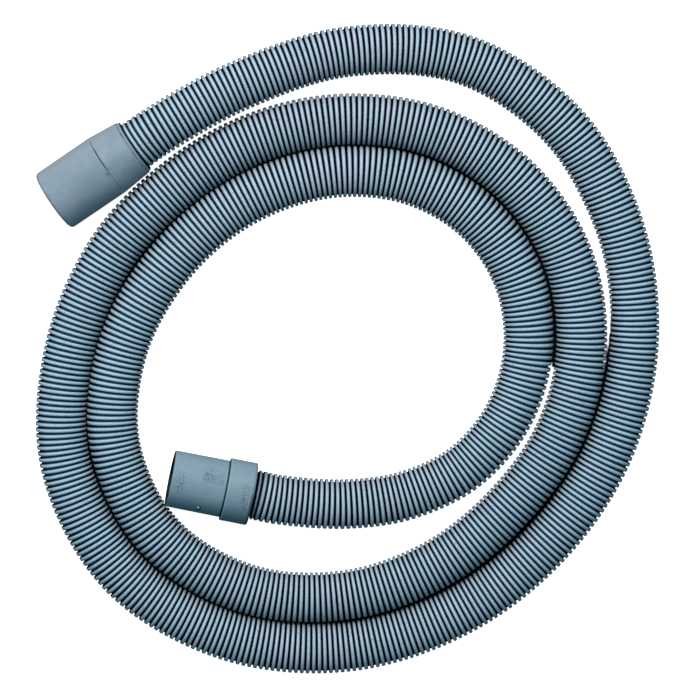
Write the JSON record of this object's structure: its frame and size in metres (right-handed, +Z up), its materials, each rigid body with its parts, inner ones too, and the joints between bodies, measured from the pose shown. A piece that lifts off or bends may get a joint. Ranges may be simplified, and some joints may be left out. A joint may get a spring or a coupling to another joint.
{
  "type": "washing machine drain hose",
  "caption": "Corrugated drain hose in a loose flat coil, with a plain moulded cuff on one end and a collared one on the other.",
  "frame": {"origin": "on the floor, under the middle of the coil's box", "axes": "+Z up from the floor, +Y along the coil's longer side, away from the collared cuff; the plain cuff lies at -X, +Y"},
  "size_m": [0.2936, 0.3064, 0.0319],
  "materials": {
    "hose": "blow-moulded, soft sheen",
    "cuff": "moulded, smooth and dull"
  },
  "bodies": {
    "root": {"corrugated_hose": "hose", "plain_cuff": "cuff", "collared_cuff": "cuff"}
  },
  "joints": []
}
